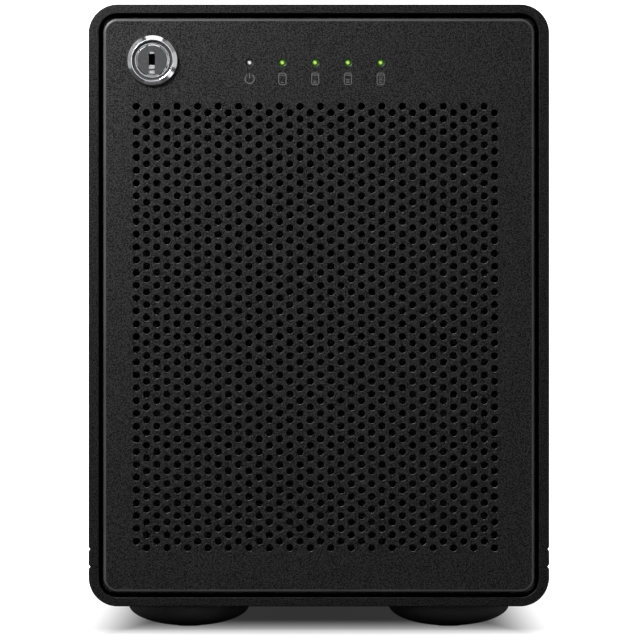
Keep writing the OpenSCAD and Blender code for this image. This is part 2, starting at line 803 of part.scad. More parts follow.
module drive(n) {
    z = bay_z(n) + drive_up;
    color("#8b8d90") difference() {
        union() {
            box(span(0, drive_w), [drive_d0, drive_d1], [z, z + drive_h - 4]);
            box(span(0, drive_w - 3), [drive_d0 + 1.5, drive_d1 - 12],
                [z + drive_h - 4 - air, z + drive_h]);
        }
        box(span(0, drive_socket_w + 1), [drive_d1 - 5, drive_d1 + cut], [z - cut, z + 8]);
        at_drive_screws(n) cylinder(h = 9, r = drive_screw_r + slip, center = true);
    }
}

cover_shell();
base_shell();
feet();
foot_screws();
front_frame();
frame_screws();
stud_catches();
lock_strike();
cage_left();
cage_right();
guide_rails();
cage_floor();
top_deck();
backplane_board();
drive_sockets();
signal_ribbon();
main_board();
processor_heatsink();
board_standoffs();
network_ports();
usb_ports();
led_board();
status_leds();
led_ribbon();
rear_panel();
rear_panel_screws();
fan_frame();
fan_rotor();
fan_screws();
power_supply_case();
power_inlet();
power_lead();
switch_housing();
switch_rocker();
door_panel();
door_backing();
door_studs();
power_light_pipe();
drive_light_pipes();
lock_body();
lock_nut();
lock_plug();
lock_cam();
cam_screw();
for (n = [1:bays]) {
    tray(n);
    tray_thumbscrew(n);
    tray_screws(n);
    drive(n);
}
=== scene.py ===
import json
import math

import bmesh
import bpy
import numpy as np
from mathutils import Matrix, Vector, geometry


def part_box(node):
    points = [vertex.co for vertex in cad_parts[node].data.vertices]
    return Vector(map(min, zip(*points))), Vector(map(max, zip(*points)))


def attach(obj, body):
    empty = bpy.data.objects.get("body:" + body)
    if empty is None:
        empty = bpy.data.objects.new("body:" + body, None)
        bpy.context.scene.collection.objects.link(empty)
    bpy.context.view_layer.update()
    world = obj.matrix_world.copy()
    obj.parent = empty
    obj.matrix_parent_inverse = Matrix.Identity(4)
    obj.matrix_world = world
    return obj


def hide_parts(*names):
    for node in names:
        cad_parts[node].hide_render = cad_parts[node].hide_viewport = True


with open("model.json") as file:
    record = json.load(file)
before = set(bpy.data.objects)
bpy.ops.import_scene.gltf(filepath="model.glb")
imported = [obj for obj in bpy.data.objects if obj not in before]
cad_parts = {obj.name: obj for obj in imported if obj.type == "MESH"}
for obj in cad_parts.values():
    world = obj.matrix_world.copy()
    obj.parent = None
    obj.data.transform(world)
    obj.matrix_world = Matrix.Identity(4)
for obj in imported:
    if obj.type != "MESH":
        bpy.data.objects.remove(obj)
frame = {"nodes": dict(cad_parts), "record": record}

# Shapes are written in millimetres and become metres when an object is built.
# Depths are counted back from the casing's front edge, as in the CAD source.
MM = 0.001
SHARP_ANGLE = math.radians(32)
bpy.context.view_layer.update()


def box_mm(node):
    """Lowest and highest corner of a CAD node, in millimetres."""
    low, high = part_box(node)
    return low / MM, high / MM


cover_low, cover_high = box_mm("cover_shell")
base_low = box_mm("base_shell")[0]
door_low, door_high = box_mm("door_panel")
lock_low, lock_high = box_mm("lock_body")
plug_low, plug_high = box_mm("lock_plug")
Y_FRONT = cover_low.y
Y_BACK = cover_high.y
HALF_W = cover_high.x
Z_TOP = cover_high.z
Z_UNDER = base_low.z
Z_SEAM = cover_low.z
LOCK_X = (lock_low.x + lock_high.x) / 2
LOCK_Z = (lock_low.z + lock_high.z) / 2

# Casing.
CORNER_R = 8.5
INNER_R = 5.5
SIDE_WALL = 3.0
TOP_WALL = 2.6
SEAM_GAP = 0.1
GROOVE_HALF = 0.6
GROOVE_DEPTH = 0.45
GROOVE_STEP = 5.1
EDGE_ROUND = 0.3
EDGE_CHAMFER = 0.15
BOSS_INSET = 3.7
BOSS_R = 4.0
BOSS_HOLE_R = 1.3
BOSS_SPAN = (15.0, 240.1)
FOOT_D = 35.8

# Door.
DOOR_R = 4.3
DOOR_EDGE = 0.9
DOOR_CHAMFER = 0.3
VENT_R = 1.05
VENT_RIM = 0.12
VENT_COLUMNS = 36
VENT_ROWS = 35
COLUMN_PITCH = 3.0
ROW_PITCH = 3.75
VENT_X = -1.0
VENT_TOP = 29.9
LOCK_HOLE_R = 6.0
KEYWAY_X = LOCK_X - 0.15
KEYWAY_Z = LOCK_Z - 0.7
LAMP_SINK_R = 1.3
LAMP_HOLE_R = 0.9
LAMP_SINK = 0.45


# ---------- mesh tools ----------

class Shape:
    """Vertices and faces in millimetres, which become one object."""

    def __init__(self):
        self.points = []
        self.faces = []
        self.face_materials = []
        self.material = 0

    def add(self, points):
        start = len(self.points)
        self.points.extend(tuple(p) for p in points)
        return list(range(start, len(self.points)))

    def face(self, corners):
        self.faces.append(tuple(corners))
        self.face_materials.append(self.material)

    def bridge(self, loop_a, loop_b, closed=True):
        count = len(loop_a)
        for i in range(count if closed else count - 1):
            j = (i + 1) % count
            self.face((loop_a[i], loop_a[j], loop_b[j], loop_b[i]))

    def stack(self, loops):
        """Joins loops one after another and closes the ends."""
        indices = [self.add(loop) for loop in loops]
        for loop_a, loop_b in zip(indices, indices[1:]):
            self.bridge(loop_a, loop_b)
        self.face(indices[0])
        self.face(indices[-1])

    def fill(self, loops, plane=(0, 2)):
        """Fills the flat region inside the first loop and outside the others."""
        order = [i for loop in loops for i in loop]
        flat = [Vector((self.points[i][plane[0]], self.points[i][plane[1]])) for i in order]
        edges, start = [], 0
        for loop in loops:
            count = len(loop)
            edges += [(start + k, start + (k + 1) % count) for k in range(count)]
            start += count
        found = geometry.delaunay_2d_cdt(flat, edges, [], 0, 1e-6)
        spots, triangles, sources = found[0], found[2], found[3]
        middles = np.array([[sum(spots[v][a] for v in t) / 3 for a in (0, 1)] for t in triangles])
        inside = np.zeros(len(triangles), bool)
        for loop in loops:
            ring = np.array([[self.points[i][plane[0]], self.points[i][plane[1]]] for i in loop])
            inside ^= crossings(middles, ring)
        for triangle, keep in zip(triangles, inside):
            if keep:
                self.face([order[sources[v][0]] for v in triangle])

    def build(self, name, body, materials, replaces=()):
        mesh = bpy.data.meshes.new(name)
        mesh.from_pydata([[c * MM for c in p] for p in self.points], [], self.faces)
        mesh.polygons.foreach_set("material_index", self.face_materials)
        work = bmesh.new()
        work.from_mesh(mesh)
        bmesh.ops.recalc_face_normals(work, faces=work.faces)
        work.to_mesh(mesh)
        work.free()
        mesh.shade_smooth()
        mesh.set_sharp_from_angle(angle=SHARP_ANGLE)
        for material in materials:
            mesh.materials.append(material)
        piece = bpy.data.objects.new(name, mesh)
        bpy.context.scene.collection.objects.link(piece)
        weighted = piece.modifiers.new("flat_faces", "WEIGHTED_NORMAL")
        weighted.keep_sharp = True
        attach(piece, body)
        if replaces:
            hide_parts(*replaces)
        return piece


def crossings(spots, ring):
    """Which spots lie inside a closed ring."""
    x, z = spots[:, 0], spots[:, 1]
    inside = np.zeros(len(spots), bool)
    for (x0, z0), (x1, z1) in zip(ring, np.roll(ring, -1, axis=0)):
        if z0 == z1:
            continue
        between = (z0 > z) != (z1 > z)
        inside ^= between & (x < x0 + (z - z0) * (x1 - x0) / (z1 - z0))
    return inside


def circle(centre, radius, segments):
    angles = [2 * math.pi * i / segments for i in range(segments)]
    return [(centre[0] + radius * math.cos(a), centre[1] + radius * math.sin(a)) for a in angles]


def rounded(half_w, half_h, radius, segments=8, centre=(0.0, 0.0)):
    """Outline of a rectangle with round corners, counterclockwise from its right side."""
    points = []
    for quarter, (sx, sz) in enumerate(((1, 1), (-1, 1), (-1, -1), (1, -1))):
        for i in range(segments + 1):
            angle = math.radians(90 * (quarter + i / segments))
            points.append((centre[0] + sx * (half_w - radius) + radius * math.cos(angle),
                           centre[1] + sz * (half_h - radius) + radius * math.sin(angle)))
    return points


def at_y(outline, y):
    return [(x, y, z) for x, z in outline]


def at_z(outline, z):
    return [(x, y, z) for x, y in outline]


def lathe_y(shape, centre, profile, segments):
    """Turns (radius, depth) pairs about an axis along Y."""
    shape.stack([at_y(circle(centre, r, segments), Y_FRONT + d) for r, d in profile])


def tube_y(shape, centre, profile, segments):
    """Turns a closed outline of (radius, depth) pairs about an axis along Y."""
    loops = [shape.add(at_y(circle(centre, r, segments), Y_FRONT + d)) for r, d in profile]
    for loop_a, loop_b in zip(loops, loops[1:] + loops[:1]):
        shape.bridge(loop_a, loop_b)


def lathe_z(shape, centre, profile, segments):
    """Turns (radius, height) pairs about an upright axis."""
    shape.stack([at_z(circle(centre, r, segments), z) for r, z in profile])


def quarter_round(radius, segments):
    """(inset, depth) pairs from a front edge's face round to its side."""
    steps = [math.radians(90 * i / segments) for i in range(segments + 1)]
    return [(radius * (1 - math.sin(t)), radius * (1 - math.cos(t))) for t in steps]


# ---------- materials ----------

class Finish:
    """One procedural material, put together a node at a time."""

    def __init__(self, name, colour, roughness, metallic=0.0):
        self.material = bpy.data.materials.new(name)
        self.material.use_nodes = True
        self.nodes = self.material.node_tree.nodes
        self.links = self.material.node_tree.links
        self.shader = self.nodes["Principled BSDF"]
        self.spot = self.nodes.new("ShaderNodeTexCoord").outputs["Object"]
        self.colour = colour
        self.set("Base Color", (*colour, 1))
        self.set("Roughness", roughness)
        self.set("Metallic", metallic)

    def set(self, socket, value):
        if isinstance(value, bpy.types.NodeSocket):
            self.links.new(value, self.shader.inputs[socket])
        else:
            self.shader.inputs[socket].default_value = value

    def stretched(self, scale):
        node = self.nodes.new("ShaderNodeMapping")
        node.inputs["Scale"].default_value = scale
        self.links.new(self.spot, node.inputs["Vector"])
        return node.outputs["Vector"]

    def noise(self, scale, detail=2.0, stretch=None):
        node = self.nodes.new("ShaderNodeTexNoise")
        node.inputs["Scale"].default_value = scale
        node.inputs["Detail"].default_value = detail
        self.links.new(self.stretched(stretch) if stretch else self.spot, node.inputs["Vector"])
        return node.outputs["Fac"]

    def cells(self, scale):
        """A random colour for each cell of a broken-up surface."""
        node = self.nodes.new("ShaderNodeTexVoronoi")
        node.inputs["Scale"].default_value = scale
        self.links.new(self.spot, node.inputs["Vector"])
        return node.outputs["Color"]

    def wave(self, scale, direction="X", distortion=0.0):
        node = self.nodes.new("ShaderNodeTexWave")
        node.bands_direction = direction
        node.inputs["Scale"].default_value = scale
        node.inputs["Distortion"].default_value = distortion
        self.links.new(self.spot, node.inputs["Vector"])
        return node.outputs["Fac"]

    def span(self, value, low, high, source=(0.3, 0.7)):
        """Maps a texture value from the source range to low..high."""
        node = self.nodes.new("ShaderNodeMapRange")
        node.inputs["From Min"].default_value = source[0]
        node.inputs["From Max"].default_value = source[1]
        node.inputs["To Min"].default_value = low
        node.inputs["To Max"].default_value = high
        self.links.new(value, node.inputs["Value"])
        return node.outputs["Result"]

    def blend(self, factor, colour_a, colour_b):
        node = self.nodes.new("ShaderNodeMix")
        node.data_type = "RGBA"
        for socket, value in ((0, factor), (6, colour_a), (7, colour_b)):
            if isinstance(value, bpy.types.NodeSocket):
                self.links.new(value, node.inputs[socket])
            else:
                node.inputs[socket].default_value = (*value, 1)
        return node.outputs[2]

    def combine(self, operation, *values):
        node = self.nodes.new("ShaderNodeMath")
        node.operation = operation
        for socket, value in zip(node.inputs, values):
            self.links.new(value, socket)
        return node.outputs["Value"]

    def mottle(self, scale, amount, detail=2.0, stretch=None):
        """Varies the base colour by a share of itself, up and down."""
        dark = [c * (1 - amount) for c in self.colour]
        light = [c * (1 + amount) for c in self.colour]
        value = self.span(self.noise(scale, detail, stretch), 0, 1)
        self.set("Base Color", self.blend(value, dark, light))

    def rough(self, scale, low, high, detail=2.0, stretch=None):
        self.set("Roughness", self.span(self.noise(scale, detail, stretch), low, high))

    def bump(self, height, distance_mm):
        node = self.nodes.new("ShaderNodeBump")
        node.inputs["Strength"].default_value = 1.0
        node.inputs["Distance"].default_value = distance_mm * MM
        self.links.new(height, node.inputs["Height"])
        self.set("Normal", node.outputs["Normal"])


def textured_black(name, colour, roughness=(0.45, 0.56), grain=2600, depth=0.02, shine=0.8):
    """Fine-textured anodised or powder-coated metal: small bright grains in a dark ground."""
    finish = Finish(name, colour, roughness[0])
    speckle = finish.span(finish.noise(grain, 2), 0, 1, (0.4, 0.62))
    dark = [c * 0.1 for c in colour]
    light = [c * 2.2 for c in colour]
    finish.set("Base Color", finish.blend(speckle, dark, light))
    finish.set("Specular IOR Level", finish.span(speckle, shine * 0.28, shine, (0, 1)))
    finish.rough(grain * 0.5, *roughness)
    finish.bump(finish.noise(grain * 1.2, 2), depth)
    return finish.material


def bright_metal(name, colour, roughness, grain=900, depth=0.004):
    """Plated or machined metal with a slight ripple."""
    finish = Finish(name, colour, roughness, 1.0)
    finish.mottle(300, 0.06)
    finish.rough(grain, roughness * 0.75, roughness * 1.3)
    finish.bump(finish.noise(grain, 3), depth)
    return finish.material


def brushed_metal(name, colour, roughness, stretch, depth=0.006):
    """Metal with a grain that runs along the small part of the stretch."""
    finish = Finish(name, colour, roughness, 1.0)
    finish.mottle(2000, 0.15, 2, stretch)
    finish.rough(2600, roughness * 0.7, roughness * 1.35, 2, stretch)
    finish.bump(finish.noise(3000, 2, stretch), depth)
    return finish.material


def galvanised(name, colour):
    """Sheet steel with zinc spangle."""
    finish = Finish(name, colour, 0.4, 1.0)
    spangle = finish.cells(110)
    light = [c * 1.15 for c in colour]
    dark = [c * 0.8 for c in colour]
    separate = finish.nodes.new("ShaderNodeSeparateColor")
    finish.links.new(spangle, separate.inputs[0])
    finish.set("Base Color", finish.blend(separate.outputs[0], dark, light))
    finish.set("Roughness", finish.span(separate.outputs[1], 0.28, 0.5, (0, 1)))
    finish.bump(finish.noise(700, 3), 0.01)
    return finish.material


def moulded(name, colour, roughness=0.42, grain=1600, depth=0.012, mottle=0.12):
    """Moulded plastic or rubber with a fine spark-eroded texture."""
    finish = Finish(name, colour, roughness)
    finish.mottle(60, mottle, 3)
    finish.rough(grain * 0.6, roughness * 0.85, roughness * 1.15)
    finish.bump(finish.noise(grain, 2), depth)
    return finish.material


def circuit_green(name, colour):
    """Solder mask over a pattern of copper tracks."""
    finish = Finish(name, colour, 0.32)
    tracks = finish.wave(420, "X", 3.0)
    copper = [min(1.0, c * 1.9 + 0.01) for c in colour]
    finish.set("Base Color", finish.blend(finish.span(tracks, 0, 1, (0.72, 0.8)), colour, copper))
    finish.rough(900, 0.25, 0.4)
    finish.bump(tracks, 0.02)
    return finish.material


def ribbon(name, colour):
    """Flat cable of parallel wires."""
    finish = Finish(name, colour, 0.45)
    wires = finish.wave(160, "X")
    finish.set("Base Color", finish.blend(wires, [c * 0.6 for c in colour], colour))
    finish.rough(500, 0.4, 0.55)
    finish.bump(wires, 0.15)
    return finish.material


def lamp(name, core, rim):
    """A lit light pipe: a bright core that falls off towards its rim."""
    finish = Finish(name, rim, 0.22)
    facing = finish.nodes.new("ShaderNodeLayerWeight")
    glow = finish.span(facing.outputs["Facing"], 0, 1, (0.01, 0.16))
    finish.set("Emission Color", finish.blend(glow, core, rim))
    finish.set("Emission Strength", finish.span(finish.noise(1500), 0.9, 1.1))
    finish.rough(800, 0.4, 0.5)
    finish.bump(finish.noise(1800), 0.004)
    return finish.material


def ringed_metal(name, colour, roughness, centre, depth=0.01):
    """A turned face with a fine grain in circles about an axis along Y."""
    finish = Finish(name, colour, roughness, 0.5)
    shift = finish.nodes.new("ShaderNodeVectorMath")
    shift.operation = "SUBTRACT"
    shift.inputs[1].default_value = (centre[0] * MM, 0, centre[1] * MM)
    finish.links.new(finish.spot, shift.inputs[0])
    rings = finish.nodes.new("ShaderNodeTexWave")
    rings.wave_type = "RINGS"
    rings.rings_direction = "Y"
    rings.inputs["Scale"].default_value = 900
    rings.inputs["Distortion"].default_value = 1.5
    rings.inputs["Detail Scale"].default_value = 2
    finish.links.new(shift.outputs["Vector"], rings.inputs["Vector"])
    finish.mottle(1400, 0.2)
    finish.set("Roughness", finish.span(rings.outputs["Fac"], roughness * 0.8, roughness * 1.25,
                                        (0, 1)))
    finish.bump(rings.outputs["Fac"], depth)
    return finish.material


def label_paper(name, colour):
    """A printed sticker without lettering: faint bands on white."""
    finish = Finish(name, colour, 0.5)
    bands = finish.wave(14, "Y")
    finish.set("Base Color", finish.blend(finish.span(bands, 0, 1, (0.86, 0.88)), colour,
                                          (0.12, 0.18, 0.26)))
    finish.rough(600, 0.4, 0.6)
    finish.bump(finish.noise(1200), 0.006)
    return finish.material


BLACK = (0.0068, 0.0068, 0.0071)
materials = {
    "casing_black": textured_black("casing_black", [c * 0.8 for c in BLACK], shine=0.62),
    "foot_rubber": moulded("foot_rubber", (0.06, 0.06, 0.06), 0.7, 1200, 0.03, 0.25),
    "zinc_screw": bright_metal("zinc_screw", (0.62, 0.62, 0.6), 0.28),
    "black_screw": bright_metal("black_screw", (0.06, 0.06, 0.062), 0.4),
    "frame_steel": textured_black("frame_steel", (0.022, 0.022, 0.024), (0.5, 0.65), 1500),
    "cage_steel": galvanised("cage_steel", (0.5, 0.51, 0.52)),
    "rail_plastic": moulded("rail_plastic", (0.62, 0.6, 0.54), 0.45),
    "circuit_board": circuit_green("circuit_board", (0.008, 0.075, 0.025)),
    "black_plastic": moulded("black_plastic", (0.018, 0.018, 0.019), 0.38),
    "ribbon_cable": ribbon("ribbon_cable", (0.3, 0.31, 0.32)),
    "power_cable": moulded("power_cable", (0.55, 0.38, 0.03), 0.35),
    "heatsink_metal": brushed_metal("heatsink_metal", (0.45, 0.46, 0.47), 0.35, (1, 0.05, 1)),
    "brass_fitting": bright_metal("brass_fitting", (0.6, 0.42, 0.16), 0.25),
    "led_lens": moulded("led_lens", (0.75, 0.78, 0.7), 0.25),
    "lock_chrome": bright_metal("lock_chrome", (0.62, 0.62, 0.63), 0.15, 400, 0.0006),
    "lock_face": ringed_metal("lock_face", (0.085, 0.085, 0.088), 0.36, (LOCK_X, LOCK_Z)),
    "tray_steel": textured_black("tray_steel", (0.045, 0.046, 0.05), (0.4, 0.55), 1600),
    "drive_metal": bright_metal("drive_metal", (0.3, 0.31, 0.32), 0.42, 1400, 0.02),
    "light_white": lamp("light_white", (0.8, 0.8, 0.8), (0.03, 0.03, 0.03)),
    "light_green": lamp("light_green", (0.62, 0.72, 0.19), (0.02, 0.075, 0.003)),
}
door_black = textured_black("door_black", BLACK)
# A lighter grey for the door's rounded edge: a painted highlight along its rim.
door_edge_painted_highlight = moulded("door_edge_painted_highlight", (0.05, 0.05, 0.051), 0.45, 1600, 0.004, 0.2)
lid_metal = brushed_metal("lid_metal", (0.3, 0.305, 0.31), 0.34, (1, 0.03, 1))
label_white = label_paper("label_white", (0.42, 0.43, 0.42))
# Faint green emission for the drive lamps' collars: the lamp's light round the countersink,
# painted as a glow.
painted_green_glow = lamp("painted_green_glow", (0.006, 0.028, 0.001), (0.004, 0.018, 0.001))
icon_print = moulded("icon_print", (0.1, 0.1, 0.1), 0.6)
wafer_metal = ringed_metal("wafer_metal", (0.3, 0.3, 0.31), 0.3, (LOCK_X, LOCK_Z), 0.02)
lip_metal = ringed_metal("lip_metal", (0.62, 0.62, 0.64), 0.28, (LOCK_X, LOCK_Z), 0.004)
# Near-black for the inside of the keyway: painted shade deep in the slot.
keyway_painted_shade = moulded("keyway_painted_shade", (0.006, 0.006, 0.006), 0.5)


# ---------- casing ----------

def wall_section():
    """The casing wall's outline as (side, offset, depth), round from the outer face."""
    depth = Y_BACK - Y_FRONT
    front = [("outer", inset, d) for inset, d in reversed(quarter_round(EDGE_ROUND, 4))]
    back = [("outer", inset, depth - d) for inset, d in quarter_round(EDGE_ROUND, 4)]
    chamfer_front = [("inner", EDGE_CHAMFER, 0.0), ("inner", 0.0, EDGE_CHAMFER)]
    chamfer_back = [("inner", 0.0, depth - EDGE_CHAMFER), ("inner", EDGE_CHAMFER, depth)]
    return front + chamfer_front + chamfer_back + back


def sweep_wall(shape, path):
    """Carries the wall's section along pairs of outer and inner points."""
    section = wall_section()
    loops = []
    for outer, inner in path:
        outer, inner = Vector(outer), Vector(inner)
        inward = (inner - outer).normalized()
        spots = []
        for side, offset, depth in section:
            spot = outer + inward * offset if side == "outer" else inner - inward * offset
            spots.append((spot.x, Y_FRONT + depth, spot.y))
        loops.append(spots)
    shape.stack(loops)


def corner_path(centre_z_outer, centre_z_inner, first, last, steps=16):
    """Pairs of points round one corner of the casing's right side, in degrees."""
    centre_x = HALF_W - CORNER_R
    pairs = []
    for i in range(steps + 1):
        angle = math.radians(first + (last - first) * i / steps)
        away = (math.cos(angle), math.sin(angle))
        pairs.append(((centre_x + CORNER_R * away[0], centre_z_outer + CORNER_R * away[1]),
                      (centre_x + INNER_R * away[0], centre_z_inner + INNER_R * away[1])))
    return pairs


def groove_pairs(z_list):
    """Pairs on the right wall at (height, dip) rows."""
    return [((HALF_W - dip, z), (HALF_W - SIDE_WALL, z)) for z, dip in z_list]


def mirrored(pairs):
    return [((-o[0], o[1]), (-i[0], i[1])) for o, i in reversed(pairs)]


def add_bosses(shape, z):
    """Screw bosses in two corners of the casing."""
    start, end = BOSS_SPAN
    for side in (-1, 1):
        centre = (side * (HALF_W - SIDE_WALL - BOSS_INSET), z)
        tube_y(shape, centre, ((BOSS_R, start), (BOSS_R, end), (BOSS_HOLE_R, end),
                               (BOSS_HOLE_R, start)), 32)


def cover_sleeve():
    """The upper shell, with half of the seam's groove and a whole groove above it."""
    second = Z_SEAM + GROOVE_STEP
    rows = [(Z_SEAM, GROOVE_DEPTH), (Z_SEAM + GROOVE_HALF, 0.0),
            (second - GROOVE_HALF, 0.0), (second, GROOVE_DEPTH), (second + GROOVE_HALF, 0.0)]
    centre_out = Z_TOP - CORNER_R
    centre_in = Z_TOP - TOP_WALL - INNER_R
    right = groove_pairs(rows) + corner_path(centre_out, centre_in, 0, 90)
    shape = Shape()
    sweep_wall(shape, right + mirrored(right))
    add_bosses(shape, Z_TOP - TOP_WALL - BOSS_INSET)
    shape.build("cover_sleeve", "chassis", [materials["casing_black"]],
                ["cover_shell"])


def base_pan():
    """The lower shell, which ends at the seam in the other half of its groove."""
    top = Z_SEAM - SEAM_GAP
    rows = [(top, GROOVE_DEPTH), (top - GROOVE_HALF, 0.0)]
    centre_out = Z_UNDER + CORNER_R
    centre_in = Z_UNDER + TOP_WALL + INNER_R
    right = groove_pairs(rows) + corner_path(centre_out, centre_in, 0, -90)
    shape = Shape()
    sweep_wall(shape, right + mirrored(right))
    add_bosses(shape, Z_UNDER + TOP_WALL + BOSS_INSET)
    shape.build("base_pan", "chassis", [materials["casing_black"]],
                ["base_shell"])


def rubber_feet():
    """Rubber domes with a recess for the screw that holds each one."""
    low, high = box_mm("feet")
    foot_r = FOOT_D / 2
    rim = 0.6
    steps = 30
    angles = [math.radians(12 + 78 * i / steps) for i in range(steps + 1)]
    dome = [(foot_r * math.sin(a), (Z_UNDER - rim) * (1 - math.cos(a))) for a in angles]
    recess = [(1.6, 2.4), (2.2, 2.4), (2.4, 0.3), (2.7, 0.0)]
    shape = Shape()
    for x in (low.x + foot_r, high.x - foot_r):
        for y in (low.y + foot_r, high.y - foot_r):
            lathe_z(shape, (x, y), recess + [(3.2, 0.0)] + dome + [(foot_r, Z_UNDER)], 96)
    shape.build("rubber_feet", "chassis", [materials["foot_rubber"]], ["feet"])


# ---------- door ----------

def lamp_centres():
    """The five light pipes' centres, from the CAD light pipes."""
    low, high = box_mm("power_light_pipe")
    z = (low.z + high.z) / 2
    first = (low.x + high.x) / 2
    half = (high.x - low.x) / 2
    row_low, row_high = box_mm("drive_light_pipes")
    start, end = row_low.x + half, row_high.x - half
    return [(first, z)] + [(start + (end - start) * i / 3, z) for i in range(4)]


def vent_cells(shape, y_front, y_back):
    """The perforated field. Returns the loops of its staggered border, front and back.

    Each hole has a cell whose corners lie on a fine grid, so that neighbours share them.
    """
    x_step, z_step = COLUMN_PITCH / 4, ROW_PITCH / 4
    x_first = VENT_X - (VENT_COLUMNS - 1) * COLUMN_PITCH / 2
    z_first = Z_TOP - VENT_TOP
    border = [(2, 0), (2, 1), (2, 2), (1, 2), (0, 2), (-1, 2), (-2, 2), (-2, 1),
              (-2, 0), (-2, -1), (-2, -2), (-1, -2), (0, -2), (1, -2), (2, -2), (2, -1)]
    corners, uses = {}, {}

    def corner(key, y):
        if (key, y) not in corners:
            spot = (x_first + key[0] * x_step, y, z_first + key[1] * z_step)
            corners[key, y] = shape.add([spot])[0]
        return corners[key, y]

    for column in range(VENT_COLUMNS):
        for row in range(VENT_ROWS):
            middle = (column * 4, -(row * 4 + (column % 2) * 2))
            keys = [(middle[0] + dx, middle[1] + dz) for dx, dz in border]
            centre = (x_first + middle[0] * x_step, z_first + middle[1] * z_step)
            hole = circle(centre, VENT_R, len(border))
            rings = [shape.add(at_y(circle(centre, VENT_R + VENT_RIM, len(border)), y_front)),
                     shape.add(at_y(hole, y_front + VENT_RIM)),
                     shape.add(at_y(hole, y_back))]
            shape.bridge([corner(k, y_front) for k in keys], rings[0])
            shape.bridge(rings[0], rings[1])
            shape.bridge(rings[1], rings[2])
            shape.bridge(rings[2], [corner(k, y_back) for k in keys])
            for a, b in zip(keys, keys[1:] + keys[:1]):
                pair = (min(a, b), max(a, b))
                uses[pair] = uses.get(pair, 0) + 1
    chain = {}
    for (a, b), count in uses.items():
        if count == 1:
            chain.setdefault(a, []).append(b)
            chain.setdefault(b, []).append(a)
    start = min(chain)
    loop, previous = [start], None
    while True:
        onward = [k for k in chain[loop[-1]] if k != previous]
        previous = loop[-1]
        if onward[0] == start:
            break
        loop.append(onward[0])
    return [corner(k, y_front) for k in loop], [corner(k, y_back) for k in loop]


def door_face():
    """The door's face: a rounded panel with its vents, lock hole and sunk lamp holes; the first
    rows of its edge round are lighter, a painted highlight.
    """
    painted_highlight_rows = 3
    shape = Shape()
    front, back = door_low.y, door_high.y
    half_w, half_h = door_high.x, (door_high.z - door_low.z) / 2
    centre = (0.0, (door_high.z + door_low.z) / 2)
    edge = quarter_round(DOOR_EDGE, 5)
    edge += [(0.0, back - front - DOOR_CHAMFER), (DOOR_CHAMFER, back - front)]
    rings = [shape.add(at_y(rounded(half_w - i, half_h - i, DOOR_R - i, 12, centre), front + d))
             for i, d in edge]
    # The first rows of the edge round take the lighter grey: a painted highlight.
    for step, (ring_a, ring_b) in enumerate(zip(rings, rings[1:])):
        shape.material = 1 if step < painted_highlight_rows else 0
        shape.bridge(ring_a, ring_b)
    shape.material = 0
    field_front, field_back = vent_cells(shape, front, back)
    lock_ring = circle((LOCK_X, LOCK_Z), LOCK_HOLE_R, 48)
    lock_front = shape.add(at_y(lock_ring, front))
    lock_back = shape.add(at_y(lock_ring, back))
    shape.bridge(lock_front, lock_back)
    sink_front, hole_back = [], []
    for spot in lamp_centres():
        sink = shape.add(at_y(circle(spot, LAMP_SINK_R, 32), front))
        throat = shape.add(at_y(circle(spot, LAMP_HOLE_R, 32), front + LAMP_SINK))
        end = shape.add(at_y(circle(spot, LAMP_HOLE_R, 32), back))
        shape.bridge(sink, throat)
        shape.bridge(throat, end)
        sink_front.append(sink)
        hole_back.append(end)
    shape.fill([rings[0], field_front, lock_front] + sink_front)
    shape.fill([rings[-1], field_back, lock_back] + hole_back)
    shape.build("door_face", "door", [door_black, door_edge_painted_highlight], ["door_panel"])


def lamps():
    """The lit ends of the light pipes, each in a collar; the drive lamps' collars glow faint
    green, painting the lamp's light spilling round the countersink.
    """
    low, high = box_mm("power_light_pipe")
    depth = high.y - Y_FRONT
    dome = [(0.08, 0.85), (0.25, 0.87), (0.42, 0.92), (0.56, 0.99), (0.67, 1.08), (0.75, 1.18),
            (0.8, 1.3)]
    collar = [(0.84, 1.24), (1.22, 0.86), (1.27, 0.83), (1.27, 0.92), (0.88, 1.32)]
    names = ["lamp_power"] + [f"lamp_drive_{n}" for n in range(1, 5)]
    nodes = [["power_light_pipe"], ["drive_light_pipes"], [], [], []]
    for name, spot, replaced in zip(names, lamp_centres(), nodes):
        is_power = name == "lamp_power"
        slot = "light_white" if is_power else "light_green"
        shape = Shape()
        lathe_y(shape, spot, dome + [(0.85, 1.45), (0.85, depth)], 32)
        shape.material = 1
        tube_y(shape, spot, collar, 32)
        shape.build(name, "door",
                    [materials[slot], door_black if is_power else painted_green_glow], replaced)


def stroke(shape, outline, width, y_top, y_bottom, closed=True):
    """A raised line along an outline of (x, z) spots."""
    spots = [Vector(p) for p in outline]
    count = len(spots)
    sides = []
    for i, spot in enumerate(spots):
        before = spots[i - 1] if closed or i else spot
        after = spots[(i + 1) % count] if closed or i < count - 1 else spot
        along = (after - before).normalized()
        across = Vector((-along.y, along.x)) * width / 2
        sides.append((spot + across, spot - across))
    quads = [shape.add([(a.x, y_top, a.y), (b.x, y_top, b.y),
                        (b.x, y_bottom, b.y), (a.x, y_bottom, a.y)]) for a, b in sides]
    for i in range(count if closed else count - 1):
        shape.bridge(quads[i], quads[(i + 1) % count])
    if not closed:
        shape.face(quads[0])
        shape.face(quads[-1])


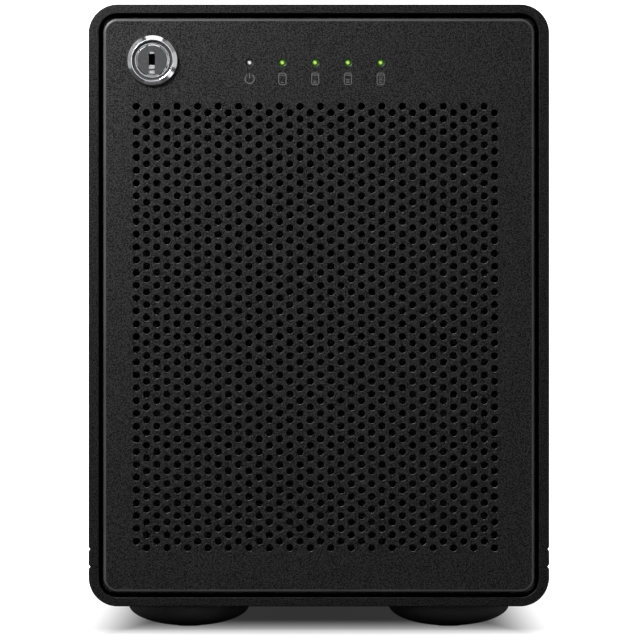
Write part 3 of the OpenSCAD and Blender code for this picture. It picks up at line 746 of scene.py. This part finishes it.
def door_icons():
    """Small printed marks under the lamps: a power symbol and four drives."""
    drop = 4.75
    power_line, drive_line, tick_line = 0.24, 0.2, 0.17
    top, bottom = door_low.y - 0.02, door_low.y + 0.05
    shape = Shape()
    power, *drives = [(x, z - drop) for x, z in lamp_centres()]
    arc = [math.radians(125 + 290 * i / 24) for i in range(25)]
    stroke(shape, [(power[0] + 1.35 * math.cos(a), power[1] + 1.35 * math.sin(a)) for a in arc],
           power_line, top, bottom, False)
    stroke(shape, [(power[0], power[1] + 0.2), (power[0], power[1] + 1.6)],
           power_line, top, bottom, False)
    for number, (x, z) in enumerate(drives, 1):
        stroke(shape, rounded(1.06, 1.7, 0.6, 4, (x, z)), drive_line, top, bottom)
        stroke(shape, [(x - 0.9, z + 1.1), (x + 0.9, z + 1.1)], drive_line, top, bottom, False)
        for tick in range(number):
            tick_z = z - 1.1 + 0.45 * tick
            stroke(shape, [(x - 0.5, tick_z), (x + 0.5, tick_z)], tick_line, top, bottom, False)
    shape.build("door_icons", "door", [icon_print])


# ---------- lock ----------

def lock_bezel():
    """The lock's bright flange: a cone with a lip round the plug."""
    centre = (LOCK_X, LOCK_Z)
    cone = [(6.1, -1.0), (6.22, -0.95), (7.25, -0.16), (7.36, -0.04), (7.4, 0.12)]
    barrel = [(7.4, 0.8), (5.9, 0.8), (5.9, 16.0), (4.8, 16.0)]
    inside = [(4.8, -0.35), (4.9, -0.45), (5.05, -0.45), (5.2, -0.35), (5.3, -0.25),
              (5.6, -0.25), (5.68, -0.5), (5.85, -0.9), (6.0, -0.98)]
    segments = 96
    shape = Shape()
    tube_y(shape, centre, cone + barrel + inside, segments)
    first = len(cone) + len(barrel)
    lip = [first, first + 1, first + 8, 0]
    groove = [first + 2, first + 3, first + 4, first + 5, first + 6]
    for material, rows in ((1, groove), (2, lip)):
        for row in rows:
            for face in range(row * segments, (row + 1) * segments):
                shape.face_materials[face] = material
    shape.build("lock_bezel", "door",
                [materials["lock_chrome"], materials["lock_face"], lip_metal], ["lock_body"])


def lock_core():
    """The plug with its keyway; it turns with the key."""
    centre = (LOCK_X, LOCK_Z)
    slot_middle = (KEYWAY_X, KEYWAY_Z)
    keyway = rounded(0.8, 3.3, 0.2, 3, slot_middle)
    front = plug_low.y
    barrel_end = Y_FRONT + 16
    face_r, barrel_r, tail_r = 4.38, 4.75, 2.6
    shape = Shape()
    shape.material = 1
    rim = shape.add(at_y(circle(centre, face_r, 64), front))
    mouth = shape.add(at_y(rounded(0.92, 3.42, 0.3, 3, slot_middle), front))
    shape.fill([rim, mouth])
    shape.material = 0
    lip = shape.add(at_y(keyway, front + 0.18))
    shape.bridge(mouth, lip)
    # The keyway's walls and end are near-black: painted shade.
    shape.material = 2
    end = shape.add(at_y(keyway, Y_FRONT + 11))
    shape.bridge(lip, end)
    shape.face(end)
    shape.material = 0
    outer = shape.add(at_y(circle(centre, barrel_r, 64), front + 0.26))
    shape.bridge(rim, outer)
    shape.material = 1
    barrel = shape.add(at_y(circle(centre, barrel_r, 64), barrel_end))
    shape.bridge(outer, barrel)
    neck = shape.add(at_y(circle(centre, tail_r, 64), barrel_end))
    tail = shape.add(at_y(circle(centre, tail_r, 64), plug_high.y))
    shape.bridge(barrel, neck)
    shape.bridge(neck, tail)
    shape.face(tail)
    shape.build("lock_core", "key_plug",
                [materials["lock_chrome"], materials["lock_face"], keyway_painted_shade], ["lock_plug"])


def lock_wafers():
    """Sprung plates that stand across the keyway, leaning so that they catch the light, and a
    near-black plate behind them as painted shade.
    """
    shape = Shape()
    front = plug_low.y
    left, right = KEYWAY_X - 0.74, KEYWAY_X + 0.74
    for low, high, lean in ((-3.95, -2.7, 0.48), (-2.55, -1.35, 0.46), (1.95, 2.55, 0.25),
                            (-3.9, 1.9, 0.0)):
        near_y = front + (0.1 if lean else 4.0)
        # The upright plate at the back is near-black: a sheet of painted shade behind the keyway.
        shape.material = 0 if lean else 1
        near = [(left, near_y, LOCK_Z + low), (right, near_y, LOCK_Z + low),
                (right, near_y + lean, LOCK_Z + high), (left, near_y + lean, LOCK_Z + high)]
        shape.stack([near, [(px, py + 0.5, pz) for px, py, pz in near]])
    shape.build("lock_wafers", "key_plug", [wafer_metal, keyway_painted_shade])


# ---------- hard drives ----------

def screw_head(shape, centre, z, radius):
    """A low screw head with a six-lobed recess."""
    profile = [(radius, z), (radius, z + 0.35), (radius - 0.25, z + 0.55)]
    loops = [shape.add(at_z(circle(centre, r, 32), h)) for r, h in profile]
    for loop_a, loop_b in zip(loops, loops[1:]):
        shape.bridge(loop_a, loop_b)
    lobes = []
    for i in range(24):
        angle = 2 * math.pi * i / 24
        r = radius * (0.42 + 0.08 * math.cos(6 * angle))
        lobes.append((centre[0] + r * math.cos(angle), centre[1] + r * math.sin(angle)))
    mouth = shape.add(at_z(lobes, z + 0.55))
    floor = shape.add(at_z(lobes, z + 0.2))
    shape.fill([loops[-1], mouth], (0, 1))
    shape.bridge(mouth, floor)
    shape.face(floor)
    shape.face(loops[0])


def drive(n):
    """A 3.5 inch hard drive: a casting, a stepped lid with screws, and a blank label."""
    low, high = box_mm(f"drive_{n}")
    half_w = high.x
    y0, y1 = low.y, high.y
    middle_y = (y0 + y1) / 2
    step = high.z - 4.0
    shape = Shape()
    # Casting: a lower part with a notch for the socket, and a full upper part.
    notch = 38.0
    lower = [(half_w, y1), (notch, y1), (notch, y1 - 5), (-notch, y1 - 5), (-notch, y1),
             (-half_w, y1), (-half_w, y0), (half_w, y0)]
    shape.stack([at_z(lower, low.z), at_z(lower, low.z + 8)])
    upper = [(0.0, low.z + 8), (0.0, step - 0.7), (0.2, step - 0.2), (0.7, step)]
    half_l = (y1 - y0) / 2
    shape.stack([at_z(rounded(half_w - i, half_l - i, 2.0, 6, (0, middle_y)), z)
                 for i, z in upper])
    # Lid with a raised middle and a round boss over the spindle.
    shape.material = 1
    lid_w = half_w - 1.5
    lid_l = (y1 - 12 - y0 - 1.5) / 2
    lid_y = y0 + 1.5 + lid_l
    lid = [(0.0, step - 0.1), (0.0, step + 2.2), (0.5, step + 2.7), (5.0, step + 2.7),
           (6.5, step + 3.3), (8.0, step + 3.3)]
    shape.stack([at_z(rounded(lid_w - i, lid_l - i, 9.0 - i * 0.5, 8, (0, lid_y)), z)
                 for i, z in lid])
    lathe_z(shape, (0, y0 + 50), ((14.0, step + 3.2), (14.0, step + 3.7), (13.0, step + 4.0)), 64)
    shape.material = 2
    for x in (-lid_w + 3.5, lid_w - 3.5):
        for y in (lid_y - lid_l + 5, lid_y, lid_y + lid_l - 5):
            screw_head(shape, (x, y), step + 2.6, 2.2)
    shape.material = 3
    label = rounded(34.0, 27.0, 1.5, 4, (0, lid_y + 28))
    shape.stack([at_z(label, step + 3.25), at_z(label, step + 3.42)])
    shape.build(f"hard_drive_{n}", f"drawer_{n}",
                [materials["drive_metal"], lid_metal, materials["zinc_screw"], label_white],
                [f"drive_{n}"])


# ---------- parts that keep their CAD shape ----------

BEVELS = {"cage_steel": 0.12, "frame_steel": 0.15, "tray_steel": 0.15, "black_plastic": 0.25,
          "circuit_board": 0.08, "heatsink_metal": 0.12, "zinc_screw": 0.12,
          "black_screw": 0.15, "rail_plastic": 0.2, "brass_fitting": 0.15}
PLAIN_BEVEL = 0.1


def dress_cad_nodes():
    """Gives each CAD node that stays its material, and softens its hard edges."""
    slots = {row["node"]: row["material_slot"] for row in frame["record"]["subparts"]}
    for name, piece in frame["nodes"].items():
        if piece.hide_render:
            continue
        slot = slots[name]
        piece.data.materials.clear()
        piece.data.materials.append(materials[slot])
        weld = piece.modifiers.new("weld", "WELD")
        weld.merge_threshold = 0.0005 * MM
        planar = piece.modifiers.new("planar", "DECIMATE")
        planar.decimate_type = "DISSOLVE"
        planar.angle_limit = math.radians(1)
        bevel = piece.modifiers.new("bevel", "BEVEL")
        bevel.width = BEVELS.get(slot, PLAIN_BEVEL) * MM
        bevel.segments = 2
        bevel.limit_method = "ANGLE"
        bevel.angle_limit = SHARP_ANGLE
        bevel.use_clamp_overlap = True
        weighted = piece.modifiers.new("flat_faces", "WEIGHTED_NORMAL")
        weighted.keep_sharp = False


# ---------- stage ----------

def ramp(finish, value, span, heights):
    """Eases from one height to another while the value crosses the span."""
    node = finish.nodes.new("ShaderNodeMapRange")
    node.interpolation_type = "SMOOTHSTEP"
    for socket, number in zip(("From Min", "From Max", "To Min", "To Max"), span + heights):
        node.inputs[socket].default_value = number
    finish.links.new(value, node.inputs["Value"])
    return node.outputs["Result"]


def pale_stage():
    """A pale diffuse surface that the object's reflections see darker."""
    finish = Finish("pale_stage", (0.9, 0.9, 0.9), 0.9)
    seen = finish.nodes.new("ShaderNodeLightPath").outputs["Is Camera Ray"]
    place = finish.nodes.new("ShaderNodeSeparateXYZ")
    finish.links.new(finish.spot, place.inputs[0])
    # The camera alone sees painted light and shade: a base colour darkened near the casing's
    # front as a painted shadow, emission under the casing as a painted fill of light, and a
    # bright floor beside and behind it.
    y, x = place.outputs["Y"], finish.combine("ABSOLUTE", place.outputs["X"])
    front, back, side = Y_FRONT * MM, Y_BACK * MM, HALF_W * MM
    far = ramp(finish, y, (back - 0.02, back + 0.05), (0.0, 0.9))
    # The base colour darkens towards the casing's front and stays dark under it: a painted
    # shadow.
    near = ramp(finish, y, (front - 0.07, front), (0.9, 0.3))
    paleness_with_painted_shadow = finish.combine("MAXIMUM", near, far)
    finish.set("Base Color", finish.blend(seen, (0.07, 0.07, 0.07), paleness_with_painted_shadow))
    # Emission that fades from under the casing's front to beyond it, and lifts the floor beside
    # it: painted light.
    painted_fill_under = ramp(finish, y, (front - 0.045, front + 0.07), (0.6, 0.03))
    painted_light_beside = ramp(finish, x, (side - 0.022, side + 0.006), (0.0, 0.95))
    painted_floor_light = finish.combine("MAXIMUM", finish.combine("MAXIMUM", painted_fill_under, painted_light_beside), far)
    finish.set("Emission Color", (1, 1, 1, 1))
    finish.set("Emission Strength", finish.combine("MULTIPLY", painted_floor_light, seen))
    return finish.material


def sweep():
    """A plain pale floor that curves up into a backdrop."""
    shape = Shape()
    reach, radius, height, near = 9000.0, 1500.0, 8000.0, 300.0
    path = [(-reach, 0.0), (-near, 0.0), (near, 0.0), (reach - radius, 0.0)]
    path += [(reach - radius + radius * math.sin(math.radians(a)),
              radius - radius * math.cos(math.radians(a))) for a in range(6, 91, 6)]
    path += [(reach, height)]
    left = shape.add([(-reach, y, z) for y, z in path])
    right = shape.add([(reach, y, z) for y, z in path])
    shape.bridge(left, right, False)
    mesh = bpy.data.meshes.new("sweep")
    mesh.from_pydata([[c * MM for c in p] for p in shape.points], [], shape.faces)
    mesh.shade_smooth()
    mesh.materials.append(pale_stage())
    floor = bpy.data.objects.new("sweep", mesh)
    bpy.context.scene.collection.objects.link(floor)


def softbox(name, spot, aim, size, watts):
    """A rectangular light that the camera doesn't see, with its place and size in metres."""
    data = bpy.data.lights.new(name, "AREA")
    data.shape = "RECTANGLE"
    data.size, data.size_y = size
    data.energy = watts
    light = bpy.data.objects.new(name, data)
    light.location = spot
    light.rotation_euler = (Vector(aim) - Vector(spot)).to_track_quat("-Z", "Y").to_euler()
    light.visible_camera = False
    bpy.context.scene.collection.objects.link(light)
    return light


def light_group(name, members, state):
    """A collection that says which objects a light reaches or misses."""
    group = bpy.data.collections.new(name)
    for member in members:
        group.objects.link(bpy.data.objects[member])
    for entry in group.collection_objects:
        entry.light_linking.link_state = state
    return group


def lighting():
    """An even pale world with soft lights round the object and cards for its reflections."""
    world = bpy.data.worlds.new("studio")
    world.use_nodes = True
    background = world.node_tree.nodes["Background"]
    background.inputs["Color"].default_value = (1, 1, 1, 1)
    background.inputs["Strength"].default_value = 1.5
    world.cycles_visibility.glossy = False
    bpy.context.scene.world = world
    front = Y_FRONT * MM
    lock = (LOCK_X * MM, front, LOCK_Z * MM)
    not_floor = light_group("not_floor", ["sweep"], "EXCLUDE")
    key = softbox("key", (-0.2, front - 0.17, 0.33), (-0.06, front, 0.14), (0.1, 0.1), 1.45)
    back = Y_BACK * MM
    rear = softbox("rear", (0.22, back + 0.25, 0.34), (0, back, 0.1), (0.15, 0.15), 2.4)
    left = softbox("left", (-0.7, 0.15, 0.45), (0, 0.05, 0.1), (0.3, 0.3), 1.6)
    right = softbox("right", (0.7, 0.15, 0.45), (0, 0.05, 0.1), (0.3, 0.3), 1.6)
    for light in (key, left, right):
        light.light_linking.receiver_collection = not_floor
    rear.light_linking.receiver_collection = light_group("not_cover", ["sweep", "cover_sleeve"],
                                                         "EXCLUDE")
    behind = softbox("behind", (0.2, 1.2, 1.6), (0, 0.12, 0.1), (1.2, 1.2), 2.5)
    behind.visible_diffuse = False
    # A strip overhead for the line of light along the door's top edge.
    strip = softbox("strip", (-0.05, front - 0.05, 0.9), (0, front, 0.2), (0.5, 0.15), 7.0)
    strip.visible_diffuse = False
    strip.light_linking.receiver_collection = light_group("only_door", ["door_face"], "INCLUDE")
    # Cards placed for the reflections in the lock, which nothing else sees.
    only_lock = light_group("only_lock", ["lock_bezel", "lock_core", "lock_wafers"], "INCLUDE")
    for name, spot, size, watts in (
            ("card_top", (lock[0] + 0.04, front - 0.17, 0.75), 0.42, 1.1),
            ("card_fill", (0.3, front - 0.2, 0.5), 0.3, 0.12),
            ("card_upper_left", (-0.4, front - 0.2, 0.58), 0.34, 0.14),
            ("card_right", (0.5, front - 0.15, 0.2), 0.4, 0.4),
            ("card_low", (0.14, front - 0.05, 0.02), 0.08, 0.03),
            ("card_left", (-0.55, front - 0.16, 0.2), 0.5, 0.42),
            ("card_floor", (-0.05, front - 0.06, 0.001), 0.14, 0.03)):
        card = softbox(name, spot, lock, (size, size), watts)
        card.visible_diffuse = False
        card.light_linking.receiver_collection = only_lock


def camera():
    """A long lens square to the front, framing the casing and its feet."""
    data = bpy.data.cameras.new("camera")
    distance = 2.0
    eye_height = 0.0988
    view_width = 0.1875
    data.sensor_width = 36
    data.lens = data.sensor_width * distance / view_width
    data.shift_x = 0.0017
    data.shift_y = -0.042
    data.clip_start = 0.01
    data.clip_end = 100
    view = bpy.data.objects.new("camera", data)
    view.location = (0, Y_FRONT * MM - distance, eye_height)
    view.rotation_euler = (math.radians(90), 0, 0)
    bpy.context.scene.collection.objects.link(view)
    bpy.context.scene.camera = view
    bpy.context.scene.view_settings.view_transform = "Standard"


cover_sleeve()
base_pan()
rubber_feet()
door_face()
lamps()
door_icons()
lock_bezel()
lock_core()
lock_wafers()
for number in range(1, 5):
    drive(number)
dress_cad_nodes()
sweep()
lighting()
camera()
